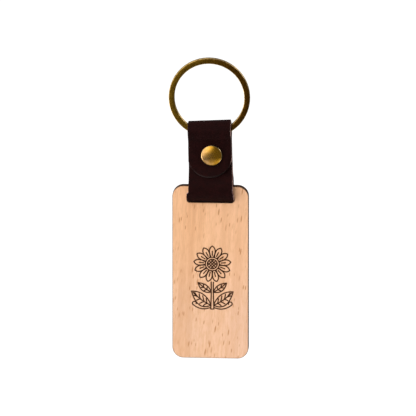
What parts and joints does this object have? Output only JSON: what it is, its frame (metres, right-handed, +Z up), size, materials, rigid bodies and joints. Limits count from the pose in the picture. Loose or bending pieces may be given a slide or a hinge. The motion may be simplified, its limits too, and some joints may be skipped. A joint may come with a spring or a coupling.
{
  "type": "keychain",
  "caption": "Keychain: a wooden tag on a riveted leather loop, which swings on a flat split ring.",
  "frame": {"origin": "the inside top of the split ring, the point that rests on a hook or a nail when the keychain hangs", "axes": "+Z up, X across the tag, +Y towards the back of the tag, so that the engraved front faces -Y; stored hanging straight down"},
  "size_m": [0.032, 0.0092, 0.1216],
  "materials": {
    "ring_brass": "antique bronze plating, satin and mottled",
    "strap_leather": "very dark brown grain side, raw tan cut edges",
    "rivet_brass": "antique brass, polished and slightly worn",
    "beech_veneer": "pale beech, fine sanded, laser-charred at the cuts",
    "beech_core": "beech core ply, its cut edges charred dark brown"
  },
  "bodies": {
    "ring": {"split_ring": "ring_brass"},
    "strap": {"leather_strap": "strap_leather", "rivet_cap": "rivet_brass", "rivet_post": "rivet_brass", "rivet_back_cap": "rivet_brass", "rivet_socket": "rivet_brass"},
    "tag": {"tag_front_veneer": "beech_veneer", "tag_core": "beech_core", "tag_back_veneer": "beech_veneer"}
  },
  "joints": [
    {"name": "strap_swing", "type": "hinge", "parent": "ring", "child": "strap", "pos_m": [0, 0, -0.02699], "axis": [1, 0, 0], "range_deg": [-120, 120]},
    {"name": "tag_swing", "type": "hinge", "parent": "strap", "child": "tag", "pos_m": [0, 0, -0.05099], "axis": [1, 0, 0], "range_deg": [-95, 95]}
  ]
}
